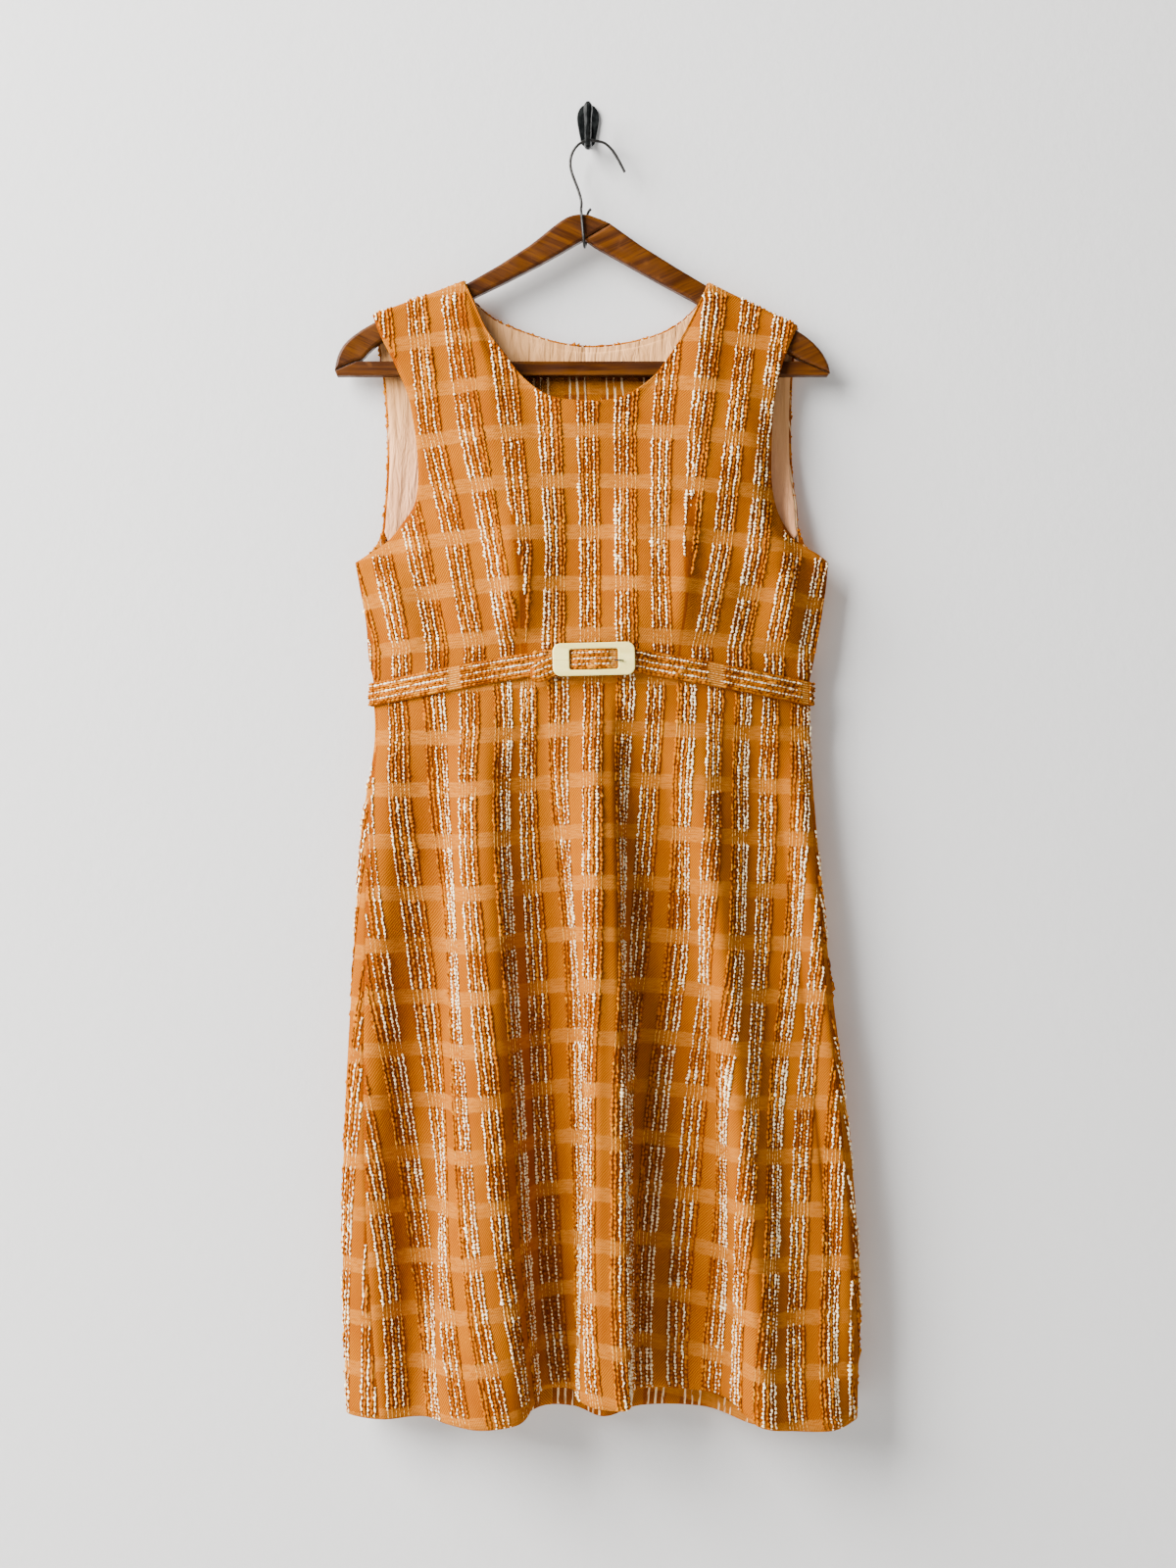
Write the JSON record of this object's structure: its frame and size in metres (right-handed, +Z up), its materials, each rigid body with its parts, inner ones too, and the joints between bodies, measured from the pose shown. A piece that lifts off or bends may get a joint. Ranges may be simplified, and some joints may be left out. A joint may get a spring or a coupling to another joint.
{
  "type": "shift dress on a hanger",
  "caption": "Sleeveless knee-length shift dress with a narrow self belt and rectangular buckle, hanging flat on a wooden hanger from a small wall hook.",
  "frame": {"origin": "middle of the wall hook's flat back, on the wall", "axes": "+Z up, +X to the right as the dress is seen from the front, +Y into the wall; the dress hangs in front of the wall, towards -Y"},
  "size_m": [0.4612, 0.0867, 1.1643],
  "materials": {
    "dress_cloth": "nubby boucle weave, orange-gold with cream and orange stripes and peach bands",
    "facing_cloth": "plain matt peach weave",
    "ivory_plastic": "polished",
    "steel_wire": "dark, drawn",
    "hanger_wood": "brown varnish",
    "black_enamel": "gloss black"
  },
  "bodies": {
    "root": {"front_bodice": "dress_cloth", "back_bodice_left": "dress_cloth", "back_bodice_right": "dress_cloth", "front_skirt": "dress_cloth", "back_skirt_left": "dress_cloth", "back_skirt_right": "dress_cloth", "back_facing_left": "facing_cloth", "back_facing_right": "facing_cloth", "belt_left": "dress_cloth", "belt_right": "dress_cloth", "belt_back": "dress_cloth", "belt_buckle": "ivory_plastic", "buckle_prong": "steel_wire", "hanger_arm_left": "hanger_wood", "hanger_arm_right": "hanger_wood", "hanger_bar": "hanger_wood", "hanger_wire": "steel_wire", "wall_hook": "black_enamel"}
  },
  "joints": []
}
